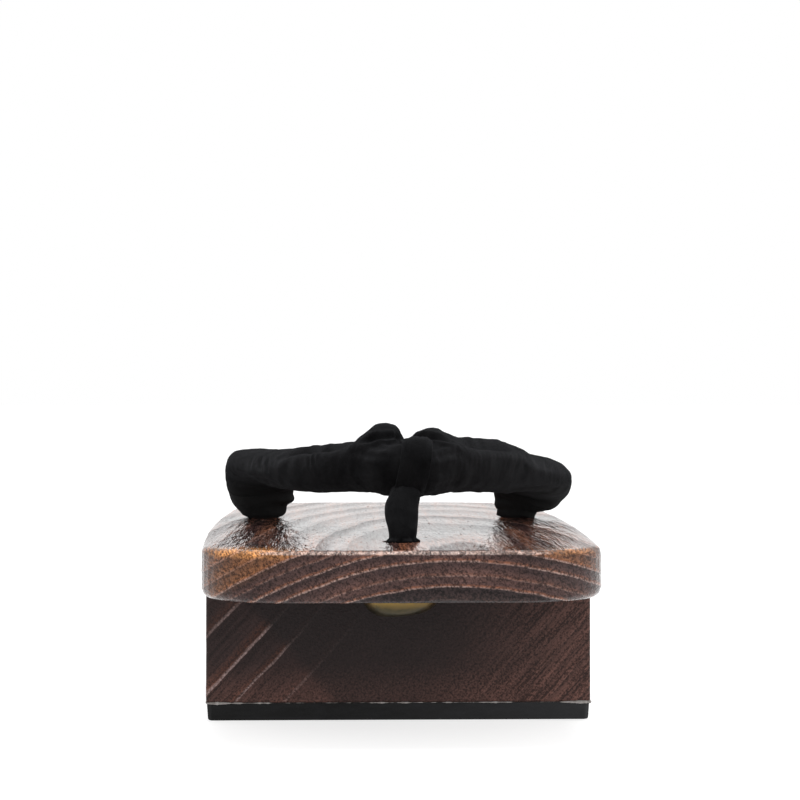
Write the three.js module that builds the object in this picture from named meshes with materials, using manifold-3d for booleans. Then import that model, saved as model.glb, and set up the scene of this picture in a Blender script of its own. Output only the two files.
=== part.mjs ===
// A geta: a wooden sandal on two cross boards, held on by a padded velvet thong.
// Millimetres, +Z up, toe towards -Y, left side -X. The origin is on the ground under the middle of the sandal.
import * as THREE from 'three';
import { mergeVertices } from 'three/addons/utils/BufferGeometryUtils.js';
import Module from 'manifold-3d';

const wasm = await Module();
wasm.setup();

// Driving dimensions
const deckLength = 260;
const deckThickness = 13.7;
const toeHalfWidth = 53.5;
const middleHalfWidth = 56.7;
const heelHalfWidth = 54.4;
const toeCornerRadius = 22;
const heelCornerRadius = 32;
const topEdgeRadius = 1.8;
const bottomEdgeRadius = 2.6;

const toothWidth = 108.4;
const toothHeight = 32.6;
const toothDepth = 25;
const toothBevel = 0.5;
const frontToothSetback = 50.5;
const rearToothSetback = 166;

const rubberThickness = 5;
const rubberInset = 0.2;
const rubberTaper = 0.5;
const rubberEdge = 0.3;

const toeHoleSetback = 36;
const heelHoleSetback = 157;
const heelHoleSpread = 42;
const holeDiameter = 9.4;
const toeHoleX = 0.2;

const clearance = 0.3;

// Heights worked out from the stack: rubber, tooth, deck
const deckBottom = rubberThickness + toothHeight;
const deckTop = deckBottom + deckThickness;
const toeY = -deckLength / 2;
const toeHoleY = toeY + toeHoleSetback;
const heelHoleY = toeY + heelHoleSetback;

// The strap runs as one padded piece from the left rear hole, round the thong, to the right rear hole.
// Each row is one section: its middle (x, y, height above the deck), the direction of its inner edge in plan
// (turn, degrees from +X), its reach from the middle to each side, and its roll (inner edge up, degrees).
const strapSections = [
  { x: -heelHoleSpread, y: heelHoleY, height: 0.8, turn: 14, inner: 6.2, outer: 6.8, over: 5.6, under: 5.4, roll: 0 },
  { x: -42, y: 26.8, height: 5.4, turn: 15, inner: 9.6, outer: 10.2, over: 7, under: 6.4, roll: 0 },
  { x: -42.2, y: 24.6, height: 12, turn: 17, inner: 10.4, outer: 11.8, over: 7.4, under: 6.4, roll: -4 },
  { x: -42.2, y: 15, height: 16.6, turn: 20, inner: 10.8, outer: 11.6, over: 6.4, under: 6.6, roll: -5 },
  { x: -36.5, y: 1, height: 17, turn: 21, inner: 10.8, outer: 11, over: 5.9, under: 6.4, roll: 2 },
  { x: -28.5, y: -21, height: 17.6, turn: 21, inner: 10.6, outer: 11, over: 7, under: 6.8, roll: 8 },
  { x: -20, y: -41, height: 18.6, turn: 21, inner: 10.4, outer: 10.8, over: 7.4, under: 7.2, roll: 8 },
  { x: -11.6, y: -55, height: 19.4, turn: 23, inner: 9, outer: 9.8, over: 7, under: 7.4, roll: 5 },
  { x: -4.8, y: -66, height: 21.6, turn: 30, inner: 6.6, outer: 8.4, over: 10.4, under: 8.8, roll: 0 },
  { x: -1.4, y: -74.6, height: 20.2, turn: 58, inner: 4.2, outer: 8.6, over: 6.6, under: 8.4, roll: 0 },
  { x: 2.4, y: -78, height: 20, turn: 90, inner: 3.8, outer: 8.2, over: 5.6, under: 8.4, roll: 0 },
  { x: 6.2, y: -74.6, height: 20.2, turn: 122, inner: 4.2, outer: 8.6, over: 6.4, under: 8.6, roll: 0 },
  { x: 9.6, y: -66, height: 21.6, turn: 150, inner: 6.6, outer: 8.6, over: 9.6, under: 9.2, roll: 2 },
  { x: 15.4, y: -55, height: 20, turn: 157, inner: 9, outer: 9.8, over: 7.6, under: 7.8, roll: 10 },
  { x: 22.8, y: -41, height: 19.4, turn: 158, inner: 10.4, outer: 10.8, over: 8.2, under: 7.4, roll: 16 },
  { x: 31.4, y: -21, height: 18.4, turn: 159, inner: 10.8, outer: 11.2, over: 7.6, under: 7.2, roll: 16 },
  { x: 40, y: 1, height: 16.4, turn: 159, inner: 10.8, outer: 11.8, over: 6.6, under: 6.4, roll: 12 },
  { x: 46.4, y: 15, height: 14.2, turn: 160, inner: 10.8, outer: 12.6, over: 6.6, under: 6.4, roll: 8 },
  { x: 47, y: 24, height: 11, turn: 163, inner: 11, outer: 11.4, over: 6.8, under: 6.4, roll: 4 },
  { x: 43.4, y: 26.8, height: 5.4, turn: 165, inner: 9.2, outer: 7.4, over: 7, under: 6.4, roll: 0 },
  { x: heelHoleSpread, y: heelHoleY, height: 0.8, turn: 166, inner: 6.4, outer: 6, over: 5.6, under: 5.4, roll: 0 },
];
const strapRoundness = 2.5;
const strapSides = 18;
const stepsPerRow = 4;

// The toe thong: a band round the strap's middle and a post down through the toe hole
const bandThickness = 1.9;
const bandWidth = 8;
const bandLean = 13;
const bandFront = 10.2;
const bandBack = 5.8;
const bandOver = 7.8;
const bandUnder = 10.4;
const smallestDetail = 0.02;
const bandProfile = [
  { out: -1, aside: -0.8 },
  { out: -0.5, aside: -1 },
  { out: 0, aside: -0.8 },
  { out: 0, aside: 0.8 },
  { out: -0.5, aside: 1 },
  { out: -1, aside: 0.8 },
];
const postSections = [
  { x: toeHoleX, y: toeHoleY, height: -deckThickness - 1, across: 3.9, deep: 3.9 },
  { x: toeHoleX, y: toeHoleY, height: 0.6, across: 3.9, deep: 3.9 },
  { x: 0.3, y: toeHoleY + 1.6, height: 4, across: 4, deep: 3.9 },
  { x: 0, y: toeHoleY + 5.4, height: 9, across: 4.3, deep: 3.8 },
  { x: 0.4, y: toeHoleY + 12, height: 15.5, across: 3.7, deep: 3.8 },
];
const thongKnotRadius = 6.4;
const thongKnotHeight = 4.4;

const capRadius = 10.9;
const capDepth = 6.6;
const capFloorRadius = 2.6;
const capWall = 0.8;

const strapNeckRadius = 4.3;
const neckBelowDeck = 0.5;
const neckInStrap = 3;
const knotRadius = 7.6;
const knotHeight = 9.5;
const knotSquareness = 0.6;

const wood = { color: 0x3a2420, roughness: 0.45, metalness: 0 };
const darkWood = { color: 0x2e1a16, roughness: 0.6, metalness: 0 };
const rubber = { color: 0x1b1b1c, roughness: 0.85, metalness: 0 };
const velvet = { color: 0x0e0e10, roughness: 0.95, metalness: 0 };
const brass = { color: 0xb08a3c, roughness: 0.35, metalness: 1 };

const sandal = new THREE.Group();

function addPiece(name, geometry, finish) {
  const mesh = new THREE.Mesh(geometry, new THREE.MeshStandardMaterial(finish));
  mesh.name = name;
  sandal.add(mesh);
  return mesh;
}

function toSolid(geometry) {
  const bare = geometry.clone();
  bare.deleteAttribute('normal');
  bare.deleteAttribute('uv');
  const merged = mergeVertices(bare, 1e-4);
  const vertProperties = new Float32Array(merged.attributes.position.array);
  const triVerts = new Uint32Array(merged.index.array);
  return new wasm.Manifold(new wasm.Mesh({ numProp: 3, vertProperties, triVerts }));
}

function toGeometry(solid) {
  const { vertProperties, triVerts } = solid.simplify(smallestDetail).getMesh();
  const geometry = new THREE.BufferGeometry();
  geometry.setAttribute('position', new THREE.BufferAttribute(vertProperties, 3));
  geometry.setIndex(new THREE.BufferAttribute(triVerts, 1));
  geometry.computeVertexNormals();
  return geometry;
}

// A closed skin over a row of rings with equal numbers of points: capped flat at both ends, or joined end to end
function loft(rings, joined = false) {
  const sides = rings[0].length;
  const points = rings.flat();
  const triangles = [];
  for (let ring = 0; ring + (joined ? 0 : 1) < rings.length; ring += 1) {
    const nextRing = (ring + 1) % rings.length;
    for (let side = 0; side < sides; side += 1) {
      const next = (side + 1) % sides;
      const a = ring * sides + side;
      const b = ring * sides + next;
      const c = nextRing * sides + next;
      const d = nextRing * sides + side;
      triangles.push(a, b, c, a, c, d);
    }
  }
  const ends = joined ? [] : [
    { ring: 0, flipped: true },
    { ring: rings.length - 1, flipped: false },
  ];
  for (const { ring, flipped } of ends) {
    const middle = new THREE.Vector3();
    rings[ring].forEach((point) => middle.addScaledVector(point, 1 / sides));
    const hub = points.push(middle) - 1;
    for (let side = 0; side < sides; side += 1) {
      const a = ring * sides + side;
      const b = ring * sides + ((side + 1) % sides);
      triangles.push(...(flipped ? [hub, b, a] : [hub, a, b]));
    }
  }
  const geometry = new THREE.BufferGeometry().setFromPoints(points);
  geometry.setIndex(triangles);
  geometry.computeVertexNormals();
  return geometry;
}

// Every column of a table of sections, read smoothly at t from 0 (first row) to 1 (last row)
function sectionAt(rows, t) {
  const last = rows.length - 1;
  const start = Math.min(Math.floor(t * last), last - 1);
  const u = t * last - start;
  const row = (index) => rows[THREE.MathUtils.clamp(index, 0, last)];
  const [before, from, to, after] = [row(start - 1), row(start), row(start + 1), row(start + 2)];
  const section = {};
  for (const column of Object.keys(from)) {
    const leave = (to[column] - before[column]) / 2;
    const arrive = (after[column] - from[column]) / 2;
    const rise = to[column] - from[column];
    const bend = leave + arrive - 2 * rise;
    section[column] = from[column] + leave * u + (3 * rise - 2 * leave - arrive) * u ** 2 + bend * u ** 3;
  }
  return section;
}

function roundedPower(value, roundness) {
  return Math.sign(value) * Math.abs(value) ** (2 / roundness);
}

// The strap's skin between two places along it, grown outwards by an even amount
function strapGeometry(from, to, grow) {
  const middleOf = (t) => {
    const section = sectionAt(strapSections, t);
    return new THREE.Vector3(section.x, section.y, deckTop + section.height);
  };
  const steps = Math.round((strapSections.length - 1) * stepsPerRow * (to - from));
  const rings = [];
  for (let step = 0; step <= steps; step += 1) {
    const t = from + ((to - from) * step) / steps;
    const section = sectionAt(strapSections, t);
    const ahead = middleOf(Math.min(t + 0.004, 1)).sub(middleOf(Math.max(t - 0.004, 0)));
    const along = ahead.normalize();
    if (t === 0 || t === 1) along.set(0, 0, Math.sign(0.5 - t));
    const turn = THREE.MathUtils.degToRad(section.turn);
    const inward = new THREE.Vector3(Math.cos(turn), Math.sin(turn), 0);
    inward.addScaledVector(along, -inward.dot(along)).normalize();
    inward.applyAxisAngle(along, THREE.MathUtils.degToRad(section.roll));
    const upward = new THREE.Vector3().crossVectors(along, inward);
    const ring = [];
    for (let side = 0; side < strapSides; side += 1) {
      const angle = (2 * Math.PI * side) / strapSides;
      const wide = roundedPower(Math.cos(angle), strapRoundness);
      const high = roundedPower(Math.sin(angle), strapRoundness);
      const reach = (wide > 0 ? section.inner : section.outer) + grow;
      const lift = (high > 0 ? section.over : section.under) + grow;
      ring.push(middleOf(t).addScaledVector(inward, wide * reach).addScaledVector(upward, high * lift));
    }
    rings.push(ring);
  }
  return loft(rings);
}

function uprightCylinder(x, y, bottom, top, radius, sides = 24) {
  const cylinder = new THREE.CylinderGeometry(radius, radius, top - bottom, sides);
  cylinder.rotateX(Math.PI / 2);
  cylinder.translate(x, y, (bottom + top) / 2);
  return cylinder;
}

// The deck's outline in plan, anticlockwise from the middle of the toe edge
function deckOutline() {
  const half = deckLength / 2;
  const bulge = 2 * middleHalfWidth - (toeHalfWidth + heelHalfWidth) / 2;
  const corner = 0.45; // how far a corner's handles stop short of its point, as a share of its radius
  const side = new THREE.Path();
  side.moveTo(0, -half);
  side.lineTo(toeHalfWidth - toeCornerRadius, -half);
  side.bezierCurveTo(
    toeHalfWidth - toeCornerRadius * corner, -half,
    toeHalfWidth, -half + toeCornerRadius * corner,
    toeHalfWidth, -half + toeCornerRadius,
  );
  side.quadraticCurveTo(bulge, 0, heelHalfWidth, half - heelCornerRadius);
  side.bezierCurveTo(
    heelHalfWidth, half - heelCornerRadius * corner,
    heelHalfWidth - heelCornerRadius * corner, half,
    heelHalfWidth - heelCornerRadius, half,
  );
  side.lineTo(0, half);
  const right = side.getPoints(10);
  const left = right.slice(1, -1).reverse().map((point) => new THREE.Vector2(-point.x, point.y));
  return [...right, ...left];
}

function deckGeometry() {
  const outline = deckOutline();
  const ringAt = (z, inset) => {
    const across = 1 - inset / middleHalfWidth;
    const along = 1 - inset / (deckLength / 2);
    return outline.map((point) => new THREE.Vector3(point.x * across, point.y * along, z));
  };
  const steps = 4;
  const rings = [];
  for (let step = 0; step <= steps; step += 1) {
    const angle = (step / steps) * (Math.PI / 2);
    const rise = bottomEdgeRadius * (1 - Math.cos(angle));
    rings.push(ringAt(deckBottom + rise, bottomEdgeRadius * (1 - Math.sin(angle))));
  }
  for (let step = 0; step <= steps; step += 1) {
    const angle = (step / steps) * (Math.PI / 2);
    const drop = topEdgeRadius * (1 - Math.sin(angle));
    rings.push(ringAt(deckTop - drop, topEdgeRadius * (1 - Math.cos(angle))));
  }
  return loft(rings);
}

function makeDeck() {
  const holes = [
    { x: toeHoleX, y: toeHoleY },
    { x: -heelHoleSpread, y: heelHoleY },
    { x: heelHoleSpread, y: heelHoleY },
  ];
  let solid = toSolid(deckGeometry());
  for (const { x, y } of holes) {
    const drill = uprightCylinder(x, y, deckBottom - 1, deckTop + 1, holeDiameter / 2);
    solid = solid.subtract(toSolid(drill));
  }
  addPiece('deck', toGeometry(solid), wood);
}

function makeTooth(name, setback) {
  const half = toothWidth / 2 - toothBevel;
  const low = rubberThickness + toothBevel;
  const high = deckBottom - toothBevel;
  const face = new THREE.Shape();
  face.moveTo(-half, low);
  face.lineTo(half, low);
  face.lineTo(half, high);
  face.lineTo(-half, high);
  face.closePath();
  const board = new THREE.ExtrudeGeometry(face, {
    depth: toothDepth - 2 * toothBevel,
    bevelSize: toothBevel,
    bevelThickness: toothBevel,
    bevelSegments: 1,
  });
  board.rotateX(Math.PI / 2);
  board.translate(0, toeY + setback + toothDepth - toothBevel, 0);
  addPiece(name, board, darkWood);
}

function makeRubber(name, setback) {
  const middle = toeY + setback + toothDepth / 2;
  const ringAt = (z, inset) => {
    const across = toothWidth / 2 - inset;
    const along = toothDepth / 2 - inset;
    const cut = 1.2;
    const corners = [
      [across - cut, -along], [across, cut - along], [across, along - cut], [across - cut, along],
      [cut - across, along], [-across, along - cut], [-across, cut - along], [cut - across, -along],
    ];
    return corners.map(([x, y]) => new THREE.Vector3(x, middle + y, z));
  };
  const rings = [
    ringAt(0, rubberTaper + rubberEdge),
    ringAt(rubberEdge, rubberTaper),
    ringAt(rubberThickness, rubberInset),
  ];
  addPiece(name, loft(rings), rubber);
}

function makeStraps() {
  let solid = toSolid(strapGeometry(0, 1, 0));
  for (const x of [-heelHoleSpread, heelHoleSpread]) {
    const neck = uprightCylinder(x, heelHoleY, deckBottom - neckBelowDeck, deckTop + neckInStrap, strapNeckRadius);
    solid = solid.add(toSolid(neck));
  }
  addPiece('straps', toGeometry(solid), velvet);
}

function thongPost() {
  const steps = 12;
  const sides = 16;
  const rings = [];
  for (let step = 0; step <= steps; step += 1) {
    const section = sectionAt(postSections, step / steps);
    const ring = [];
    for (let side = 0; side < sides; side += 1) {
      const angle = (2 * Math.PI * side) / sides;
      ring.push(new THREE.Vector3(
        section.x + section.across * Math.cos(angle),
        section.y + section.deep * Math.sin(angle),
        deckTop + section.height,
      ));
    }
    rings.push(ring);
  }
  return loft(rings);
}

// A squashed ball that stands for a tied knot, its top face at the given height
function knotGeometry(x, y, top, radius, height) {
  const profile = [new THREE.Vector2(0, 0)];
  const steps = 8;
  for (let step = 1; step < steps; step += 1) {
    const angle = (step / steps) * Math.PI;
    const out = radius * Math.sin(angle) ** knotSquareness;
    profile.push(new THREE.Vector2(out, (height * (1 - Math.cos(angle))) / 2));
  }
  profile.push(new THREE.Vector2(0, height));
  const knot = new THREE.LatheGeometry(profile, 20);
  knot.rotateX(Math.PI / 2);
  knot.translate(x, y, top - height);
  return knot;
}

// The band: a flat strip with rounded edges, led round the middle of the strap in a plane that leans to the right
function thongBand() {
  const middle = strapSections[(strapSections.length - 1) / 2];
  const lean = THREE.MathUtils.degToRad(bandLean);
  const leftward = new THREE.Vector3(-Math.cos(lean), 0, Math.sin(lean));
  const upward = new THREE.Vector3(Math.sin(lean), 0, Math.cos(lean));
  const backward = new THREE.Vector3(0, 1, 0);
  const centre = new THREE.Vector3(middle.x, middle.y, deckTop + middle.height);
  const steps = 32;
  const rings = [];
  for (let step = 0; step < steps; step += 1) {
    const angle = (2 * Math.PI * step) / steps;
    const back = roundedPower(Math.cos(angle), strapRoundness);
    const up = roundedPower(Math.sin(angle), strapRoundness);
    const ring = [];
    for (const { out, aside } of bandProfile) {
      const reach = (back > 0 ? bandBack : bandFront) + out * bandThickness;
      const lift = (up > 0 ? bandOver : bandUnder) + out * bandThickness;
      const point = centre.clone().addScaledVector(backward, back * reach).addScaledVector(upward, up * lift);
      ring.push(point.addScaledVector(leftward, (aside * bandWidth) / 2));
    }
    rings.push(ring);
  }
  return loft(rings, true);
}

function makeToeThong() {
  const strapRoom = toSolid(strapGeometry(0, 1, clearance));
  const knotTop = deckBottom - clearance;
  const knot = knotGeometry(toeHoleX, toeHoleY, knotTop, thongKnotRadius, thongKnotHeight);
  const solid = toSolid(thongBand()).add(toSolid(thongPost())).subtract(strapRoom).add(toSolid(knot));
  addPiece('toe_thong', toGeometry(solid), velvet);
}

function makeToeCap() {
  const curve = (radius, depth, floor) => {
    const points = [];
    const steps = 8;
    for (let step = 0; step <= steps; step += 1) {
      const angle = (step / steps) * (Math.PI / 2);
      points.push(new THREE.Vector2(
        floor + (radius - floor) * Math.sin(angle),
        -depth * Math.cos(angle),
      ));
    }
    return points;
  };
  const outside = curve(capRadius, capDepth, capFloorRadius);
  const inside = curve(capRadius - capWall, capDepth - capWall, capFloorRadius - capWall / 2).reverse();
  const profile = [new THREE.Vector2(0, -capDepth), ...outside, ...inside, new THREE.Vector2(0, capWall - capDepth)];
  const cap = new THREE.LatheGeometry(profile, 32);
  cap.rotateX(Math.PI / 2);
  cap.translate(toeHoleX, toeHoleY, deckBottom);
  addPiece('toe_cap', cap, brass);
}

function makeStrapKnot(name, x) {
  const top = deckBottom - neckBelowDeck - clearance;
  addPiece(name, knotGeometry(x, heelHoleY, top, knotRadius, knotHeight), velvet);
}

makeDeck();
makeTooth('front_tooth', frontToothSetback);
makeTooth('rear_tooth', rearToothSetback);
makeRubber('front_rubber_sole', frontToothSetback);
makeRubber('rear_rubber_sole', rearToothSetback);
makeStraps();
makeToeThong();
makeToeCap();
makeStrapKnot('left_strap_knot', -heelHoleSpread);
makeStrapKnot('right_strap_knot', heelHoleSpread);

export default sandal;
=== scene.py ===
import math

import bmesh
import bpy
import numpy as np
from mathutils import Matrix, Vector


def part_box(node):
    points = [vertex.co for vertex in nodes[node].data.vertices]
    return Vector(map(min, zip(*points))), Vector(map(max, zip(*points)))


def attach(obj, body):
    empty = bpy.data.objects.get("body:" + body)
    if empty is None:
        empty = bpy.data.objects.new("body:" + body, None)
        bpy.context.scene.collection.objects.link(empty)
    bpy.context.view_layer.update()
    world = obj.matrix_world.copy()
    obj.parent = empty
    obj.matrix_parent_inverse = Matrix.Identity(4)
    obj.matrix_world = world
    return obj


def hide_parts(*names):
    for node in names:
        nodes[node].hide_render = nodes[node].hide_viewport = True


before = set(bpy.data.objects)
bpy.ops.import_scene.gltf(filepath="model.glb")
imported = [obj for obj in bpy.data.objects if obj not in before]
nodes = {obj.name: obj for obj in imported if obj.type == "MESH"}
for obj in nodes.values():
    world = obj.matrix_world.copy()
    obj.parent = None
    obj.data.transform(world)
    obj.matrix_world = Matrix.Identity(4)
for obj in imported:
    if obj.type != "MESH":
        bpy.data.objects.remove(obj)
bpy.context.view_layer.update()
mm = 0.001
print("frame loaded:", len(nodes), "nodes")


# Node helpers

class Wire:
    # one socket of a node tree, so that its maths reads as Python

    def __init__(self, tree, socket):
        self.tree = tree
        self.socket = socket

    @classmethod
    def node(cls, tree, kind, settings=None, inputs=None, out=0):
        made = tree.nodes.new(kind)
        for name, value in (settings or {}).items():
            if name == "stops":
                fillRamp(made.color_ramp, value)
            elif name == "blendStops":
                made.color_ramp.interpolation = value
            else:
                setattr(made, name, value)
        for name, value in (inputs or {}).items():
            if isinstance(value, cls):
                tree.links.new(value.socket, made.inputs[name])
            else:
                made.inputs[name].default_value = value
        return cls(tree, made.outputs[out] if made.outputs else None)

    def maths(self, operation, *values, clamp=False):
        settings = {"operation": operation, "use_clamp": clamp}
        return Wire.node(self.tree, "ShaderNodeMath", settings, dict(enumerate(values)))

    def vector(self, operation, *values):
        return Wire.node(self.tree, "ShaderNodeVectorMath", {"operation": operation}, dict(enumerate(values)))

    def __add__(self, other):
        return self.maths("ADD", self, other)

    def __radd__(self, other):
        return self.maths("ADD", other, self)

    def __sub__(self, other):
        return self.maths("SUBTRACT", self, other)

    def __rsub__(self, other):
        return self.maths("SUBTRACT", other, self)

    def __mul__(self, other):
        return self.maths("MULTIPLY", self, other)

    def __rmul__(self, other):
        return self.maths("MULTIPLY", other, self)

    def __truediv__(self, other):
        return self.maths("DIVIDE", self, other)

    def __rtruediv__(self, other):
        return self.maths("DIVIDE", other, self)

    def only(self, operation):
        return self.maths(operation, self)

    def atLeast(self, other):
        return self.maths("MAXIMUM", self, other)

    def clamped(self):
        return self.maths("ADD", self, 0.0, clamp=True)

    def step(self, low, high):
        # 0 below low, 1 above high, smooth between them
        settings = {"interpolation_type": "SMOOTHSTEP"}
        return Wire.node(self.tree, "ShaderNodeMapRange", settings, {0: self, 1: low, 2: high})

    def parts(self):
        return [Wire.node(self.tree, "ShaderNodeSeparateXYZ", None, {0: self}, axis) for axis in range(3)]

    def ramp(self, stops, blendStops="LINEAR"):
        settings = {"stops": stops, "blendStops": blendStops}
        return Wire.node(self.tree, "ShaderNodeValToRGB", settings, {0: self})

    def scaled(self, x, y, z):
        return self.vector("MULTIPLY", self, (x, y, z))

    def turned(self, degrees):
        # turned about the y axis: the first part runs along a line that rises to the right by degrees
        x, y, z = self.parts()
        c, s = math.cos(math.radians(degrees)), math.sin(math.radians(degrees))
        return Wire.node(self.tree, "ShaderNodeCombineXYZ", None, {0: x * c + z * s, 1: y, 2: z * c - x * s})

    def noise(self, stretch, detail=2.0, roughness=0.5):
        # from -0.5 to 0.5, at a position in millimetres times stretch
        settings = {"noise_dimensions": "3D", "normalize": True}
        values = {"Vector": self.scaled(*stretch), "Scale": 1.0, "Detail": detail, "Roughness": roughness}
        return Wire.node(self.tree, "ShaderNodeTexNoise", settings, values) - 0.5

    def mix(self, first, second):
        # two colours, self being the share of the second
        settings = {"data_type": "RGBA", "blend_type": "MIX", "clamp_factor": True}
        return Wire.node(self.tree, "ShaderNodeMix", settings, {0: self, 6: first, 7: second}, 2)

    def tinted(self, colour):
        # this colour multiplied by another
        settings = {"data_type": "RGBA", "blend_type": "MULTIPLY", "clamp_factor": True}
        return Wire.node(self.tree, "ShaderNodeMix", settings, {0: 1.0, 6: self, 7: colour}, 2)


def fillRamp(ramp, stops):
    while len(ramp.elements) > 1:
        ramp.elements.remove(ramp.elements[-1])
    for index, (place, colour) in enumerate(stops):
        element = ramp.elements[0] if index == 0 else ramp.elements.new(place)
        element.position = place
        element.color = colour if hasattr(colour, "__len__") else (colour, colour, colour, 1)


def rgb(red, green, blue):
    return (red, green, blue, 1)


def newMaterial(name):
    material = bpy.data.materials.new(name)
    material.use_nodes = True
    material.node_tree.nodes.clear()
    return material, material.node_tree


def finishMaterial(tree, inputs):
    shader = Wire.node(tree, "ShaderNodeBsdfPrincipled", None, inputs)
    Wire.node(tree, "ShaderNodeOutputMaterial", None, {"Surface": shader})


def placeInMillimetres(tree):
    place = Wire.node(tree, "ShaderNodeTexCoord", None, None, 3)
    return place.scaled(1000, 1000, 1000)


def bump(tree, height, distance):
    # height runs from 0 to 1, and distance is its full depth in millimetres
    values = {"Height": height, "Distance": distance * mm, "Strength": 1.0}
    return Wire.node(tree, "ShaderNodeBump", None, values)


# Geometry helpers

def newTree(name, inputs):
    tree = bpy.data.node_groups.new(name, "GeometryNodeTree")
    face = tree.interface
    face.new_socket("Geometry", in_out="INPUT", socket_type="NodeSocketGeometry")
    for label, kind in inputs.items():
        face.new_socket(label, in_out="INPUT", socket_type="NodeSocket" + kind)
    face.new_socket("Geometry", in_out="OUTPUT", socket_type="NodeSocketGeometry")
    source = tree.nodes.new("NodeGroupInput")
    sockets = {socket.name: Wire(tree, socket) for socket in source.outputs if socket.name}
    return tree, sockets


def closeTree(tree, geometry, material):
    real = Wire.node(tree, "GeometryNodeRealizeInstances", None, {0: geometry})
    painted = Wire.node(tree, "GeometryNodeSetMaterial", None, {"Geometry": real, "Material": material})
    sink = tree.nodes.new("NodeGroupOutput")
    tree.links.new(painted.socket, sink.inputs[0])


def applyTree(piece, tree, values):
    modifier = piece.modifiers.new(tree.name, "NODES")
    modifier.node_group = tree
    for item in tree.interface.items_tree:
        if item.item_type == "SOCKET" and item.in_out == "INPUT" and item.name in values:
            modifier[item.identifier] = values[item.name]
    graph = bpy.context.evaluated_depsgraph_get()
    mesh = bpy.data.meshes.new_from_object(piece.evaluated_get(graph), depsgraph=graph)
    piece.modifiers.clear()
    spent, piece.data = piece.data, mesh
    bpy.data.meshes.remove(spent)
    mesh.name = piece.name
    return piece


def linkPiece(name, mesh):
    piece = bpy.data.objects.new(name, mesh)
    bpy.context.scene.collection.objects.link(piece)
    return piece


def meshPiece(name, points, faces, material=None):
    # points in millimetres
    mesh = bpy.data.meshes.new(name)
    mesh.from_pydata([tuple(point) for point in np.asarray(points) * mm], [], faces)
    mesh.update()
    if material:
        mesh.materials.append(material)
    smooth(mesh)
    return linkPiece(name, mesh)


def smooth(mesh):
    mesh.polygons.foreach_set("use_smooth", [True] * len(mesh.polygons))
    mesh.update()


def ringFaces(rings, sides, closed):
    faces = []
    for ring in range(rings if closed else rings - 1):
        here = ring * sides
        after = (ring + 1) % rings * sides
        for side in range(sides):
            beside = (side + 1) % sides
            faces.append((here + side, here + beside, after + beside, after + side))
    return faces


def loft(rings, closed=False):
    # a skin over an array of rings (ring, side, xyz), its ends closed to a point unless the rings run round
    count, sides = rings.shape[:2]
    points = rings.reshape(-1, 3)
    faces = ringFaces(count, sides, closed)
    if not closed:
        points = np.vstack([points, rings[0].mean(0), rings[-1].mean(0)])
        low, high = count * sides, count * sides + 1
        last = (count - 1) * sides
        for side in range(sides):
            beside = (side + 1) % sides
            faces.append((low, beside, side))
            faces.append((high, last + side, last + beside))
    return points, faces


def solidCopy(name, node, voxel):
    # the CAD node's shape, as one even closed mesh
    mesh = nodes[node].data.copy()
    mesh.materials.clear()
    work = bmesh.new()
    work.from_mesh(mesh)
    bmesh.ops.remove_doubles(work, verts=work.verts, dist=0.01 * mm)
    work.to_mesh(mesh)
    work.free()
    piece = linkPiece(name, mesh)
    mesh.remesh_voxel_size = voxel * mm
    mesh.remesh_voxel_adaptivity = 0
    bpy.context.view_layer.objects.active = piece
    piece.select_set(True)
    bpy.ops.object.voxel_remesh()
    piece.select_set(False)
    smooth(piece.data)
    return piece


def refine(piece, chosen):
    # cuts the edges in half where chosen says so, from the middle of an edge in millimetres
    work = bmesh.new()
    work.from_mesh(piece.data)
    edges = [edge for edge in work.edges if chosen((edge.verts[0].co + edge.verts[1].co) / (2 * mm))]
    bmesh.ops.subdivide_edges(work, edges=edges, cuts=1, use_grid_fill=True)
    work.to_mesh(piece.data)
    work.free()
    smooth(piece.data)


def settle(piece, slotName, *replaced):
    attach(piece, "root")
    if replaced:
        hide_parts(*replaced)
    return piece


deckLow, deckHigh = [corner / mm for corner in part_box("deck")]
deckTop = deckHigh.z
deckBottom = deckLow.z
toeY = deckLow.y


# Camera, light and floor

stageSizes = {
    "cameraPlace": (-16.15, -670.8, 90.2),
    "cameraTurn": -1.6,
    "lens": 94.545,
    "worldLight": 1.0,
    "floorReach": 30000,
    "floorDrop": 0.02,
    "floorGlow": 0.7,
}
# in metres and watts
lights = {
    "top_light": {"place": (0.05, 0.05, 1.3), "target": (0, -0.03, 0.04), "size": 0.55, "power": 16.0},
    "side_light": {"place": (1.0, -0.6, 0.5), "target": (0, 0, 0.04), "size": 0.6, "power": 3.0},
}


def makeCamera():
    camera = bpy.data.objects.new("camera", bpy.data.cameras.new("camera"))
    bpy.context.scene.collection.objects.link(camera)
    camera.location = Vector(stageSizes["cameraPlace"]) * mm
    camera.rotation_euler = (math.radians(90), 0, math.radians(stageSizes["cameraTurn"]))
    camera.data.lens = stageSizes["lens"]
    camera.data.sensor_width = 36
    camera.data.clip_start = 0.01
    bpy.context.scene.camera = camera


def makeLight(name, place, target, size, power):
    light = bpy.data.objects.new(name, bpy.data.lights.new(name, "AREA"))
    bpy.context.scene.collection.objects.link(light)
    light.data.size = size
    light.data.energy = power
    light.location = place
    light.rotation_euler = (Vector(target) - Vector(place)).to_track_quat("-Z", "Y").to_euler()


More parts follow.
